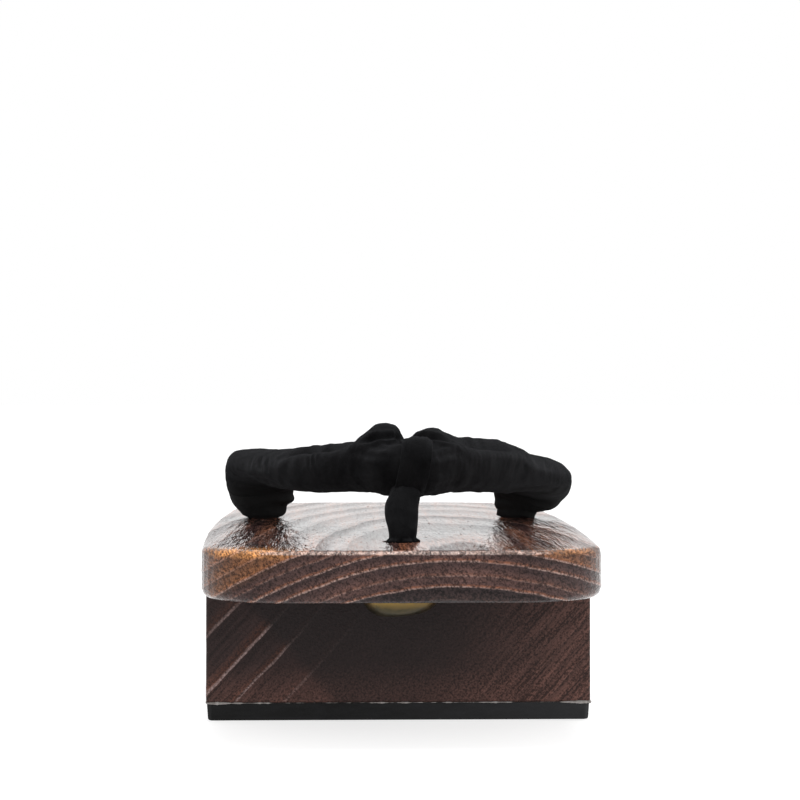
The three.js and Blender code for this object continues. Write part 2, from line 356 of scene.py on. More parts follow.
def makeStage():
    world = bpy.data.worlds.new("studio")
    world.use_nodes = True
    tree = world.node_tree
    tree.nodes.clear()
    values = {"Color": rgb(1, 1, 1), "Strength": stageSizes["worldLight"]}
    back = Wire.node(tree, "ShaderNodeBackground", None, values)
    Wire.node(tree, "ShaderNodeOutputWorld", None, {"Surface": back})
    bpy.context.scene.world = world
    bpy.context.scene.view_settings.view_transform = "Standard"
    for name, row in lights.items():
        makeLight(name, **row)
    reach = stageSizes["floorReach"]
    low = -stageSizes["floorDrop"]
    corners = [(-reach, -reach, low), (reach, -reach, low), (reach, reach, low), (-reach, reach, low)]
    material, tree = newMaterial("pale_floor")
    cloud = placeInMillimetres(tree).noise((0.004, 0.004, 0.004)) + 0.5
    paint = cloud.mix(rgb(0.40, 0.40, 0.40), rgb(0.42, 0.42, 0.42))
    finishMaterial(tree, {"Base Color": paint, "Roughness": 0.9, "Specular IOR Level": 0.1,
                          "Emission Color": rgb(1, 1, 1), "Emission Strength": stageSizes["floorGlow"]})
    floor = meshPiece("floor", corners, [(0, 1, 2, 3)], material)


# Wood

deckGrain = {
    "heartX": 14.0,  # the heart of the trunk lies under the board, right of its middle
    "heartZ": -55.6,
    "rise": 0.00024,  # how the board climbs through the rings, ever faster towards the heel
    # each ring: its distance from the heart, and how strong its pale crest and its dark groove are
    "rings": [
        (90, 0.5, 0.6), (94.2, 0.35, 0.6), (97.6, 1, 1), (100.4, 0.3, 0.25), (104.2, 0.85, 0.7),
        (107.4, 0.9, 0.8), (110.6, 0.25, 0.5), (113.3, 0.7, 0.8), (117, 0.35, 0.5), (120.5, 0.5, 0.6),
        (124.6, 0.5, 0.5), (129, 0.6, 0.7), (133, 0.5, 0.5), (138, 0.6, 0.6),
    ],
}
toothGrain = {
    "lean": 48.0,  # the rings rise to the right, in degrees
    # each ring: its place across the slanting grain, and how strong its pale crest and its dark groove are
    "rings": [
        (-52, 0, 0.3), (-46, 0, 0.35), (-41, 0.05, 0.4), (-37, 0, 0.35), (-33.5, 0.05, 0.45),
        (-30, 0, 0.4), (-27, 0.05, 0.5), (-23.5, 0, 0.4), (-20, 0.05, 0.4), (-16.5, 0, 0.3),
        (-12.5, 0.05, 0.25), (-8, 0, 0.15), (-3, 0.03, 0.12), (3, 0, 0.1), (9, 0.04, 0.1), (18, 0.02, 0.1),
        (27.4, 0.25, 0.1), (37.6, 0.8, 0.2), (44.8, 1, 0.4), (55.7, 0.6, 0.5), (66, 0.5, 0.5),
    ],
}
# height of the brushed surface across one ring, from a crest (0) out to the next crest (1)
ringHeights = [
    (0, 1.0), (0.07, 0.86), (0.2, 0.6), (0.5, 0.46), (0.78, 0.18), (0.88, 0.22), (0.95, 0.6), (1, 1.0),
]


def ringPhase(across, grain):
    # the number of rings passed, whole at each crest
    rings = grain["rings"]
    nearest, last = rings[0][0], len(rings) - 1
    span = rings[-1][0] - nearest
    stops = [((ring[0] - nearest) / span, index / last) for index, ring in enumerate(rings)]
    return ((across - nearest) / span).ramp(stops) * last


def ringStrength(phase, grain, column, lead):
    # a ring's own strength, from lead of a ring before its crest
    last = len(grain["rings"]) - 1
    stops = [(max(0, (index - lead) / last), ring[column]) for index, ring in enumerate(grain["rings"])]
    return (phase / last).ramp(stops, "CONSTANT")


def deckRings(place):
    x, y, z = place.parts()
    away = (y - toeY).step(0, 60)
    sway = place.noise((0.008, 0.006, 0.008), 1.0) * away * 6
    wobble = place.noise((0.06, 0.012, 0.06), 2.0) * 1.7 + place.noise((0.35, 0.02, 0.35), 1.0) * 0.35
    sideways = x - deckGrain["heartX"] + sway
    upward = z - deckGrain["heartZ"] + (y - toeY) * (y - toeY) * deckGrain["rise"]
    distance = (sideways * sideways + upward * upward).only("SQRT")
    return distance + wobble


def toothRings(place):
    x, y, z = place.parts()
    lean = math.radians(toothGrain["lean"])
    wobble = place.noise((0.045, 0.02, 0.045), 2.0) * 2.0 + place.noise((0.3, 0.05, 0.3), 1.0) * 0.3
    return z * math.cos(lean) - x * math.sin(lean) + wobble


def woodHeight(place, rings, grain):
    # about 0.5 on plain wood, 1 on the crest of a ring and 0 in its groove
    phase = ringPhase(rings(place), grain)
    shape = phase.only("FRACT").ramp(ringHeights) - 0.5
    crest = shape.atLeast(0) * ringStrength(phase, grain, 1, 0.3)
    groove = (0 - shape).atLeast(0) * ringStrength(phase, grain, 2, 0.55)
    return crest - groove + 0.5


def woodRelief(name, rings, grain):
    inputs = {"Relief": "Float", "Top Share": "Float", "Fibre": "Float", "Material": "Material"}
    tree, sockets = newTree(name, inputs)
    place = Wire.node(tree, "GeometryNodeInputPosition").scaled(1000, 1000, 1000)
    facing = Wire.node(tree, "GeometryNodeInputNormal")
    flat = facing.parts()[2].only("ABSOLUTE").step(0.4, 0.95)
    height = (woodHeight(place, rings, grain) - 0.5) * sockets["Relief"]
    height = height * (1 - flat * (1 - sockets["Top Share"]))
    height = height + place.noise((0.9, 0.05, 0.9), 2.0) * sockets["Fibre"]
    offset = facing.vector("SCALE", facing)
    tree.links.new((height * mm).socket, offset.socket.node.inputs["Scale"])
    values = {"Geometry": sockets["Geometry"], "Offset": offset}
    moved = Wire.node(tree, "GeometryNodeSetPosition", None, values)
    closeTree(tree, moved, sockets["Material"])
    return tree


deckTones = {
    "plain": rgb(0.080, 0.041, 0.034),
    "shade": rgb(0.034, 0.018, 0.016),
    "groove": rgb(0.016, 0.010, 0.011),
    "crest": rgb(0.21, 0.145, 0.125),
    "warm": rgb(0.21, 0.070, 0.026),
    "sapwood": rgb(0.150, 0.062, 0.026),
    # sapwood colour under a painted highlight, along the toe corners' top edges
    "gold": rgb(0.50, 0.22, 0.07),
    # the colour of the painted highlight along the deck's front top edge
    "edge": rgb(0.42, 0.32, 0.275),
    "soot": rgb(0.014, 0.009, 0.009),
    "stripe": rgb(0.170, 0.075, 0.045),
    "warmth": 0.8,
    "line": 0.14,
    "roughness": 0.08,
}
toothTones = {
    "plain": rgb(0.030, 0.016, 0.0145),
    "shade": rgb(0.017, 0.009, 0.008),
    "groove": rgb(0.010, 0.006, 0.006),
    "crest": rgb(0.19, 0.135, 0.125),
    "warm": rgb(0.12, 0.036, 0.014),
    # paler redder wood, also used as painted light on the teeth to the right and along the foot
    "sapwood": rgb(0.084, 0.039, 0.030),
    "gold": rgb(0.12, 0.05, 0.02),
    "edge": rgb(0.1, 0.07, 0.06),
    # the colour of the painted shade up under the deck
    "soot": rgb(0.0125, 0.0078, 0.0076),
    "stripe": rgb(0.05, 0.025, 0.02),
    "warmth": 0.45,
    "line": 0.075,
    "roughness": 0.40,
}


def woodMaterial(name, rings, grain, tones, stainAndPaintedLight):
    material, tree = newMaterial(name)
    place = placeInMillimetres(tree)
    phase = ringPhase(rings(place), grain)
    pale = ringStrength(phase, grain, 1, 0.3)
    deep = ringStrength(phase, grain, 2, 0.55)
    part = phase.only("FRACT")
    pores = place.noise((3.0, 0.12, 3.0), 2.0, 0.6)
    speckle = place.noise((1.5, 0.05, 1.5), 2.0, 0.6)
    cloud = place.noise((0.045, 0.012, 0.045), 3.0, 0.6)
    groove = part.ramp([(0, 0), (0.3, 0), (0.66, 0.8), (0.94, 1), (0.975, 0), (1, 0)])
    warm = part.ramp([(0, 0.5), (0.04, 1), (0.12, 0.7), (0.3, 0), (1, 0)]) * tones["warmth"]
    fine = tones["line"]
    line = part.ramp([(0, 1), (fine * 0.4, 0.8), (fine, 0), (1 - fine * 0.5, 0), (1 - fine * 0.2, 1), (1, 1)])
    line = line * (place.noise((0.16, 0.02, 0.16), 2.0, 0.6) * 2.4 + 0.95).clamped()
    shares = stainAndPaintedLight(place)
    colour = (cloud * 2.6 + speckle * 0.9 + 0.36).clamped().mix(tones["plain"], tones["shade"])
    stripe = (place.noise((0.24, 0.005, 0.24), 2.0, 0.6) * 5 + 0.35).clamped() * shares["top"]
    colour = stripe.mix(colour, tones["stripe"])
    # pale sapwood on the deck; on the teeth, painted light to the right and along the foot
    colour = shares["sapwood"].mix(colour, tones["sapwood"])
    # gold on the deck's toe corners, a painted highlight on the sapwood
    colour = (shares["gold"] * (speckle * 1.5 + 1)).clamped().mix(colour, tones["gold"])
    # dark grooves: the burnt wood's own dark, partly painted shade in the grooves below the crests
    colour = (groove * deep * (speckle * 1.2 + 0.85)).clamped().mix(colour, tones["groove"])
    colour = (warm * pale * (speckle * 2.4 + 0.65)).clamped().mix(colour, tones["warm"])
    # pale crest lines: the wood's own pale latewood, partly painted highlight on the raised crests
    colour = (line * pale * (speckle * 1.6 + pores * 0.8 + 0.85)).clamped().mix(colour, tones["crest"])
    # a sooty patch on the deck; on the teeth, painted shade up under the deck
    colour = shares["soot"].clamped().mix(colour, tones["soot"])
    # a painted highlight along the deck's rounded front top edge
    colour = (shares["edge"] * (speckle * 1.8 + 0.8)).clamped().mix(colour, tones["edge"])
    fleck = ((pores * 0.7 + speckle * 0.9 + shares["streak"]) * shares["contrast"] + 0.5).clamped()
    colour = colour.tinted(fleck.mix(rgb(0.34, 0.31, 0.31), rgb(1.62, 1.62, 1.64)))
    rough = (groove * deep * 0.12 + pores * 0.1 + speckle * 0.1 + tones["roughness"]).atLeast(0.04)
    flat = shares["top"]
    patch = (place.noise((0.05, 0.012, 0.05), 2.0) * 3.4 + 0.8).clamped()
    ripple = place.noise((0.6, 0.065, 0.6), 2.0, 0.6) * (patch * 0.8 + 0.2)
    grit = (pores * 0.6 + speckle * 0.8 + 0.5).clamped() * 0.24
    height = grit + woodHeight(place, rings, grain) * (0.16 - flat * 0.12)
    height = height + ripple * (flat * 0.75 + 0.15) + 0.3
    facing = bump(tree, height, 1.0)
    pits = (place.noise((1.0, 0.11, 1.0), 2.0, 0.6) * 9 - 1.1).clamped() * (patch + 0.15)
    # bare wood in the grooves, crests and pits of the top reflects less than the waxed wood around it
    dull = groove * deep * (speckle * 1.4 + 0.5) * 0.42 + (line + warm * 0.5) * pale * 0.2
    bare = (dull + pits * 0.55).clamped() * flat
    gloss = Wire.node(tree, "ShaderNodeBsdfPrincipled", None, {
        "Base Color": colour, "Roughness": rough, "Specular IOR Level": 0.17, "Normal": facing})
    matte = Wire.node(tree, "ShaderNodeBsdfPrincipled", None, {
        "Base Color": colour, "Roughness": 0.9, "Specular IOR Level": 0.0, "Normal": facing})
    both = Wire.node(tree, "ShaderNodeMixShader", None, {0: bare, 1: gloss, 2: matte})
    Wire.node(tree, "ShaderNodeOutputMaterial", None, {"Surface": both})
    return material


def deckStainAndPaintedLight(place):
    # pale sapwood at the two toe corners, gold along their top edges as a painted highlight on the sapwood,
    # a painted highlight along the front top edge between them, and a sooty patch low in the middle
    x, y, z = place.parts()
    rings = deckRings(place)
    near = 1 - (y - toeY).step(1, 22)
    left = (0 - x).step(20, 40) * rings.step(111.5, 114)
    right = x.step(26, 44) * rings.step(106.6, 108)
    # painted highlight: gold along the corners' top edges, on the sapwood's own colour
    gold = near * ((0 - x).step(24, 42) * z.step(48.6, 50.4) + x.step(34, 46) * z.step(49.4, 50.6) * 0.4)
    # painted highlight: a thin pale line along the rounded front top edge
    wornAndPaintedHighlight = (1 - (y - toeY).step(0.9, 1.7)) * z.step(50.1, 50.5)
    middle = (1 - (x - 13).only("ABSOLUTE").step(14, 34)) * (1 - (rings - 96.6).step(0, 1.6))
    middle = middle * (1 - (y - toeY).step(4, 9))
    hatch = place.turned(-55).noise((0.9, 0.1, 2.6), 2.0, 0.6)
    return {
        "sapwood": near * (left + right * 0.8).clamped(), "gold": gold.clamped(), "edge": wornAndPaintedHighlight * 0.48,
        "soot": middle * 0.85, "streak": hatch * 0.5, "top": z.step(50.2, 50.7),
        "contrast": middle * 1.6 + 3.6,
    }


def toothStainAndPaintedLight(place):
    # redder and paler to the right and along the foot, partly painted light there, and painted shade up under
    # the deck
    x, y, z = place.parts()
    # painted light: paler to the right and low along the foot, away from the deck's shade, over the wood's
    # own redder tone
    pale = (x.step(0, 60) * 0.95 + (1 - z.step(6, 18)) * 0.65).clamped()
    rise = (z + x * 1.13).step(-18, -12)
    # painted shade: the tooth darkens up under the deck, where the deck's shadow falls
    shade = rise * (1 - (x - z * 0.55).step(-16, 44) * 0.85)
    soot = shade * (0.55 + z.step(6, 30) * 0.4)
    streak = place.turned(toothGrain["lean"]).noise((0.05, 0.05, 0.9), 3.0, 0.65)
    aside = x.step(5, 45) + (0 - x).step(26, 44)
    return {
        "sapwood": pale, "gold": 0.0, "edge": 0.0, "soot": soot, "streak": streak * aside * 1.2, "top": 0.0,
        "contrast": pale * 2.2 + 1.5,
    }


# the mesh is cut once more within fineFront of the front face, and again but for the last lessFine of that
deckSizes = {
    "voxel": 1.1, "relief": 0.40, "topShare": 0.2, "fibre": 0.14, "fineFront": 3.2, "lessFine": 1.4,
}
toothSizes = {"voxel": 0.75, "relief": 0.12, "fibre": 0.08, "fineFront": 0.3}


def makeDeck():
    piece = solidCopy("deck_board", "deck", deckSizes["voxel"])
    front = toeY + deckSizes["fineFront"]
    refine(piece, lambda p: deckBottom + 1 < p.z < deckTop - 0.6 or p.y < front)
    refine(piece, lambda p: p.y < front - deckSizes["lessFine"])
    material = woodMaterial("brushed_wood", deckRings, deckGrain, deckTones, deckStainAndPaintedLight)
    tree = woodRelief("brushed_deck", deckRings, deckGrain)
    applyTree(piece, tree, {"Relief": deckSizes["relief"], "Top Share": deckSizes["topShare"],
                            "Fibre": deckSizes["fibre"], "Material": material})
    return settle(piece, "deck_wood", "deck")


def makeTeeth():
    material = woodMaterial("brushed_tooth_wood", toothRings, toothGrain, toothTones, toothStainAndPaintedLight)
    tree = woodRelief("brushed_tooth", toothRings, toothGrain)
    for side in ("front", "rear"):
        piece = solidCopy(side + "_tooth_board", side + "_tooth", toothSizes["voxel"])
        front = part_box(side + "_tooth")[0].y / mm + toothSizes["fineFront"]
        refine(piece, lambda p: p.y < front)
        applyTree(piece, tree, {"Relief": toothSizes["relief"], "Top Share": 1.0,
                                "Fibre": toothSizes["fibre"], "Material": material})
        settle(piece, "tooth_wood", side + "_tooth")


# Rubber pads with a fine cross-ribbed underside

rubberSizes = {"voxel": 0.55, "ribPitch": 3.2, "ribDepth": 0.35}


def rubberMaterial():
    material, tree = newMaterial("black_rubber")
    place = placeInMillimetres(tree)
    grit = place.noise((3.2, 3.2, 3.2), 2.0, 0.6)
    wornAndPaintedHighlight = place.noise((0.12, 0.12, 0.4), 3.0, 0.6)
    # painted light: the pads grow lighter to the right, where the side light falls
    paintedSideLight = place.parts()[0].step(-20, 62)
    tone = (wornAndPaintedHighlight * 1.2 + paintedSideLight * 0.75 + 0.2 + grit * 0.5).clamped()
    colour = tone.mix(rgb(0.0030, 0.0030, 0.0030), rgb(0.019, 0.0193, 0.021))
    rough = (wornAndPaintedHighlight * 0.2 + 0.78).clamped()
    finishMaterial(tree, {"Base Color": colour, "Roughness": rough, "Specular IOR Level": 0.22,
                          "Normal": bump(tree, grit + 0.5, 0.08)})
    return material


def rubberTread():
    tree, sockets = newTree("rubber_tread", {"Pitch": "Float", "Depth": "Float", "Material": "Material"})
    place = Wire.node(tree, "GeometryNodeInputPosition").scaled(1000, 1000, 1000)
    facing = Wire.node(tree, "GeometryNodeInputNormal")
    down = (facing.parts()[2] * -1).step(0.75, 0.95)
    y = place.parts()[1]
    wave = (y * (2 * math.pi / sockets["Pitch"])).only("SINE")
    groove = wave.step(0.35, 0.8) * down * sockets["Depth"] * mm
    offset = Wire.node(tree, "ShaderNodeCombineXYZ", None, {2: groove})
    values = {"Geometry": sockets["Geometry"], "Offset": offset}
    moved = Wire.node(tree, "GeometryNodeSetPosition", None, values)
    closeTree(tree, moved, sockets["Material"])
    return tree


def makeRubber():
    material = rubberMaterial()
    tree = rubberTread()
    for side in ("front", "rear"):
        piece = solidCopy(side + "_sole_pad", side + "_rubber_sole", rubberSizes["voxel"])
        values = {"Pitch": rubberSizes["ribPitch"], "Depth": rubberSizes["ribDepth"], "Material": material}
        applyTree(piece, tree, values)
        settle(piece, "sole_rubber", side + "_rubber_sole")


# Pale line of old glue squeezed out between each tooth and its pad

glueSizes = {"thickness": 0.3, "out": -0.15, "step": 0.4}


def glueMaterial():
    material, tree = newMaterial("old_glue")
    place = placeInMillimetres(tree)
    tone = (place.noise((0.8, 0.8, 0.8), 3.0, 0.7) * 2.4 + 0.5).clamped()
    colour = tone.mix(rgb(0.10, 0.085, 0.075), rgb(0.36, 0.34, 0.33))
    finishMaterial(tree, {"Base Color": colour, "Roughness": tone * 0.2 + 0.5, "Specular IOR Level": 0.3,
                          "Normal": bump(tree, tone, 0.1)})
    return material


def glueTree():
    inputs = {"Thickness": "Float", "Step": "Float", "Material": "Material"}
    tree, sockets = newTree("glue_bead", inputs)
    line = Wire.node(tree, "GeometryNodeMeshToCurve", None, {"Mesh": sockets["Geometry"]})
    line = Wire.node(tree, "GeometryNodeResampleCurve", {"mode": "LENGTH"},
                     {"Curve": line, "Length": sockets["Step"]})
    place = Wire.node(tree, "GeometryNodeInputPosition").scaled(1000, 1000, 1000)
    x = place.parts()[0]
    ends = (0 - x).step(44, 50) * 0.9 + x.step(42, 52) * 1.3
    size = place.noise((0.35, 0.35, 0.35), 3.0, 0.7) * 4.5 + 0.2 + ends * 0.9
    size = size.atLeast(0.04) * sockets["Thickness"]
    profile = Wire.node(tree, "GeometryNodeCurvePrimitiveCircle", {"mode": "RADIUS"},
                        {"Resolution": 6, "Radius": 1.0})
    bead = Wire.node(tree, "GeometryNodeCurveToMesh", None,
                     {"Curve": line, "Profile Curve": profile, "Scale": size, "Fill Caps": True})
    closeTree(tree, bead, sockets["Material"])
    return tree


def makeGlue():
    material = glueMaterial()
    tree = glueTree()
    for side in ("front", "rear"):
        low, high = [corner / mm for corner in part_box(side + "_tooth")]
        out = glueSizes["out"]
        corners = [(low.x - out, low.y - out), (high.x + out, low.y - out),
                   (high.x + out, high.y + out), (low.x - out, high.y + out)]
        edges = [(0, 1), (1, 2), (2, 3), (3, 0)]
        mesh = bpy.data.meshes.new(side + "_glue_line")
        mesh.from_pydata([(x * mm, y * mm, low.z * mm) for x, y in corners], edges, [])
        piece = linkPiece(side + "_glue_line", mesh)
        values = {"Thickness": glueSizes["thickness"] * mm, "Step": glueSizes["step"] * mm,
                  "Material": material}
        applyTree(piece, tree, values)
        settle(piece, "sole_rubber")


# Brass cap under the toe hole

capSizes = {"radius": 10.9, "depth": 6.3, "floor": 4.4, "wall": 0.8, "tilt": 0.07, "sides": 96, "steps": 22}


def brassMaterial():
    material, tree = newMaterial("dulled_brass")
    place = placeInMillimetres(tree)
    z = place.parts()[2]
    stainAndPaintedLight = place.noise((0.35, 0.35, 0.5), 4.0, 0.65)
    brushed = place.noise((0.4, 0.4, 4.0), 2.0, 0.5)
    # painted shade: the cap darkens towards its lower part; the golden top is the brass's own colour
    low = 1 - (z - deckBottom + stainAndPaintedLight * 2.5).step(-4.6, -2.2)
    colour = low.mix(rgb(0.24, 0.155, 0.046), rgb(0.066, 0.058, 0.034))
    colour = (stainAndPaintedLight * 2.0 + 0.3).clamped().mix(colour, rgb(0.12, 0.09, 0.05))
    rough = (stainAndPaintedLight * 0.3 + brushed * 0.12 + 0.34).clamped()
    finishMaterial(tree, {"Base Color": colour, "Metallic": 1.0, "Roughness": rough,
                          "Normal": bump(tree, brushed * 0.5 + stainAndPaintedLight * 0.5 + 0.5, 0.05)})
    return material


def makeCap():
    size = capSizes
    low, high = [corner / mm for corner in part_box("toe_cap")]
    middle = (low + high) / 2
    turns = np.linspace(0, math.pi / 2, size["steps"])

    def bowl(radius, depth, floor):
        return [(floor + (radius - floor) * math.sin(a), -depth * math.cos(a)) for a in turns]

    wall = size["wall"]
    outside = bowl(size["radius"], size["depth"], size["floor"])
    inside = bowl(size["radius"] - wall, size["depth"] - wall, size["floor"] - wall / 2)
    profile = outside + inside[::-1]
    rings = []
    for radius, height in profile:
        angle = np.linspace(0, 2 * math.pi, size["sides"], endpoint=False)
        tilted = height + size["tilt"] * radius * np.cos(angle) * (-height / size["depth"])
        ring = np.column_stack([radius * np.cos(angle), radius * np.sin(angle), tilted])
        rings.append(ring + (middle.x, middle.y, deckBottom - 0.05))
    points, faces = loft(np.array(rings))
    piece = meshPiece("toe_cap_brass", points, faces, brassMaterial())
    return settle(piece, "cap_brass", "toe_cap")


# The padded strap: one stuffed piece from the left rear hole, round the thong, to the right rear hole.
# Each row is one section: its middle, the plan direction of its inner edge, its reach from the middle to each
# side and its roll with the inner edge up.

columns = ("x", "y", "height", "turn", "inner", "outer", "over", "under", "roll")
strapRows = np.array([
    (-42, 27, 0.8, 14, 6.2, 6.8, 5.6, 5.4, 0),
    (-42, 26.8, 5.4, 15, 9.6, 10.2, 7, 6.4, 0),
    (-42.2, 24.6, 12, 17, 10.4, 11.8, 7.4, 6.4, -4),
    (-42.2, 15, 16.8, 20, 10.8, 12.1, 5.8, 4.2, -7),
    (-36.5, 1, 17.2, 21, 10.8, 11, 5.5, 4.0, 0),
    (-28.5, -21, 17.6, 21, 10.6, 11, 6.4, 5.4, 10),
    (-20, -41, 18.6, 21, 10.4, 10.8, 6.2, 6.8, 11),
    (-11.6, -55, 19.4, 23, 9, 10.6, 6.8, 7.2, 6),
    (-4.4, -66, 20.6, 30, 6.6, 10.2, 8.0, 8.4, 0),
    (-1.4, -74.6, 20.2, 58, 4.2, 7.8, 6.2, 8.4, 0),
    (2.4, -78, 20, 90, 3.8, 8.2, 6.6, 8.4, 0),
    (6.2, -74.6, 20.2, 122, 4.2, 8.0, 6.2, 8.6, 0),
    (9.6, -66, 20.8, 150, 6.6, 10.2, 7.8, 9.0, 2),
    (15.4, -55, 20, 157, 9, 10.6, 7.5, 7.8, 9),
    (22.8, -41, 19.4, 158, 10.4, 10.8, 7.4, 7.4, 16),
    (31.4, -21, 18.4, 159, 10.8, 11.2, 7.6, 7.2, 16),
    (40, 1, 16.4, 159, 10.8, 11.9, 5.9, 5.8, 11),
    (46.4, 15, 14.2, 160, 10.8, 12.9, 6.6, 5.8, 8),
    (47, 24, 11, 163, 11, 11.4, 6.8, 6.4, 4),
    (43.4, 26.8, 5.4, 165, 9.2, 7.4, 7, 6.4, 0),
    (42, 27, 0.8, 166, 6.4, 6, 5.6, 5.4, 0),
])
strapSizes = {
    "roundness": 2.5,
    "sides": 72,
    "rings": 440,
    "neckRings": 14,
    "neckRadius": 4.3,
    "neckBelowDeck": 0.5,
    "simSides": 30,
    "simRings": 150,
    "gathers": 13,
    "gatherDepth": 0.28,
    "gatherPlace": 0.055,
    "gatherReach": 0.03,
    "lumps": 0.16,
    "lumpSize": 8.0,
    "fineLumps": 0.07,
    "fineLumpSize": 3.2,
}
# how the stuffed cloth is inflated, and how much of that is kept
pressSizes = {
    "frames": 20,
    "pressure": 4.0,
    "slack": -0.05,
    "quality": 6,
    "mass": 0.2,
    "tension": 20,
    "shear": 8,
    "bending": 0.6,
    "heldEnd": 0.03,  # shares of the strap's length
    "heldMiddle": 0.03,
    "heldFade": 0.16,
    "cap": 5.0,
    "keep": 0.36,
    "calm": 0.13,
    "calmShare": 0.85,
    "window": 13,
}


def between(before, here, there, after, u):
    # a smooth curve through four values in turn, u running from here (0) to there (1)
    leave, arrive, rise = (there - before) / 2, (after - here) / 2, there - here
    return here + leave * u + (3 * rise - 2 * leave - arrive) * u ** 2 + (leave + arrive - 2 * rise) * u ** 3


def rowsAt(rows, t):
    last = len(rows) - 1
    start = np.clip(np.floor(t * last).astype(int), 0, last - 1)
    u = (t * last - start)[:, None]
    pick = lambda shift: rows[np.clip(start + shift, 0, last)]
    return between(pick(-1), pick(0), pick(1), pick(2), u)


def roundedPower(value, roundness):
    return np.sign(value) * np.abs(value) ** (2 / roundness)


def unit(vectors):
    return vectors / np.linalg.norm(vectors, axis=-1, keepdims=True)


def column(rows, name):
    return rows[:, [columns.index(name)]]


def strapFrames(t):
    # the middle of the section at each t, and its along, inward and upward directions
    middle = lambda s: rowsAt(strapRows, s)[:, :3] + (0, 0, deckTop)
    along = unit(middle(np.minimum(t + 0.004, 1)) - middle(np.maximum(t - 0.004, 0)))
    along[t == 0] = (0, 0, 1)
    along[t == 1] = (0, 0, -1)
    rows = rowsAt(strapRows, t)
    turn = np.radians(column(rows, "turn"))
    inward = np.hstack([np.cos(turn), np.sin(turn), np.zeros_like(turn)])
    inward = unit(inward - along * (inward * along).sum(1)[:, None])
    roll = np.radians(column(rows, "roll"))
    inward = inward * np.cos(roll) + np.cross(along, inward) * np.sin(roll)
    upward = np.cross(along, inward)
    return middle(t), along, inward, upward, rows


def strapSkin(count, sides):
    # rings of points (ring, side, xyz), from the left neck to the right one
    t = np.linspace(0, 1, count)
    middle, along, inward, upward, rows = strapFrames(t)
    angle = 2 * math.pi * np.arange(sides) / sides
    wide = roundedPower(np.cos(angle), strapSizes["roundness"])
    high = roundedPower(np.sin(angle), strapSizes["roundness"])
    reach = np.where(wide > 0, column(rows, "inner"), column(rows, "outer")) * wide
    lift = np.where(high > 0, column(rows, "over"), column(rows, "under")) * high
    rings = middle[:, None] + reach[..., None] * inward[:, None] + lift[..., None] * upward[:, None]
    necks = []
    low = deckBottom - strapSizes["neckBelowDeck"]
    for end in (0, -1):
        heights = np.linspace(low, deckTop - 0.3, strapSizes["neckRings"])
        foot = middle[end] * (1, 1, 0)
        spoke = inward[end] * np.cos(angle)[:, None] + upward[end] * np.sin(angle)[:, None]
        neck = foot + strapSizes["neckRadius"] * spoke[None] + heights[:, None, None] * np.array((0, 0, 1))
        necks.append(neck if end == 0 else neck[::-1])
    return np.concatenate([necks[0], rings, necks[1]])


def pressedOut(rings):
    # inflates the strap as stuffed cloth and returns how far each of its points moved
    size = pressSizes
    points, faces = loft(rings)
    piece = meshPiece("strap_simulation", points, faces)
    held = piece.vertex_groups.new(name="held")
    ring = np.arange(len(rings))
    neck = strapSizes["neckRings"]
    share = (ring - neck) / (len(rings) - 2 * neck)
    hold = np.maximum.reduce([
        1 - np.clip(share / size["heldEnd"], 0, 1),
        1 - np.clip((1 - share) / size["heldEnd"], 0, 1),
        1 - np.clip((np.abs(share - 0.5) - size["heldMiddle"]) / size["heldFade"], 0, 1),
    ])
    sides = rings.shape[1]
    for index, weight in enumerate(hold):
        held.add(list(range(index * sides, (index + 1) * sides)), float(weight), "REPLACE")
    held.add([len(rings) * sides, len(rings) * sides + 1], 1.0, "REPLACE")
    cloth = piece.modifiers.new("stuffing", "CLOTH").settings
    cloth.quality = size["quality"]
    cloth.mass = size["mass"]
    cloth.tension_stiffness = cloth.compression_stiffness = size["tension"]
    cloth.shear_stiffness = size["shear"]
    cloth.bending_stiffness = size["bending"]
    cloth.use_pressure = True
    cloth.uniform_pressure_force = size["pressure"]
    cloth.shrink_min = size["slack"]
    cloth.vertex_group_mass = "held"
    cloth.pin_stiffness = 1.0
    cloth.effector_weights.gravity = 0
    scene = bpy.context.scene
    for count in range(1, size["frames"] + 1):
        scene.frame_set(count)
    graph = bpy.context.evaluated_depsgraph_get()
    mesh = bpy.data.meshes.new_from_object(piece.evaluated_get(graph), depsgraph=graph)
    after = np.empty(len(mesh.vertices) * 3)
    mesh.vertices.foreach_get("co", after)
    moved = (after.reshape(-1, 3) / mm - points)[:-2].reshape(rings.shape)
    scene.frame_set(1)
    bpy.data.objects.remove(piece)
    bpy.data.meshes.remove(mesh)
    far = np.linalg.norm(moved, axis=2, keepdims=True)
    print("strap pressed out, furthest move", round(float(far.max()), 2), "mm")
    return moved * np.minimum(1, size["cap"] / np.maximum(far, 1e-6))


def evened(field, window):
    # the field's slow part, along the strap and round it
    kernel = np.hanning(2 * window + 3)[1:-1]
    kernel /= kernel.sum()
    padded = np.pad(field, ((window, window), (0, 0), (0, 0)), mode="edge")
    slow = sum(k * padded[i:i + len(field)] for i, k in enumerate(kernel))
    turn = max(2, window // 3)
    kernel = np.hanning(2 * turn + 3)[1:-1]
    kernel /= kernel.sum()
    return sum(k * np.roll(slow, i - turn, axis=1) for i, k in enumerate(kernel))


def resampled(field, rings, sides):
    # the field read smoothly on a finer grid
    def along(values, count, closed):
        last = len(values)
        place = np.arange(count) * (last / count) if closed else np.linspace(0, last - 1, count)
        start = np.floor(place).astype(int)
        u = (place - start)[:, None, None]
        pick = lambda s: values[(start + s) % last if closed else np.clip(start + s, 0, last - 1)]
        return between(pick(-1), pick(0), pick(1), pick(2), u)

    fine = along(field, rings, False)
    return along(fine.transpose(1, 0, 2), sides, True).transpose(1, 0, 2)


def gridNormals(rings):
    around = np.roll(rings, -1, axis=1) - np.roll(rings, 1, axis=1)
    along = np.gradient(rings, axis=0)
    return unit(np.cross(around, along) + 1e-12)
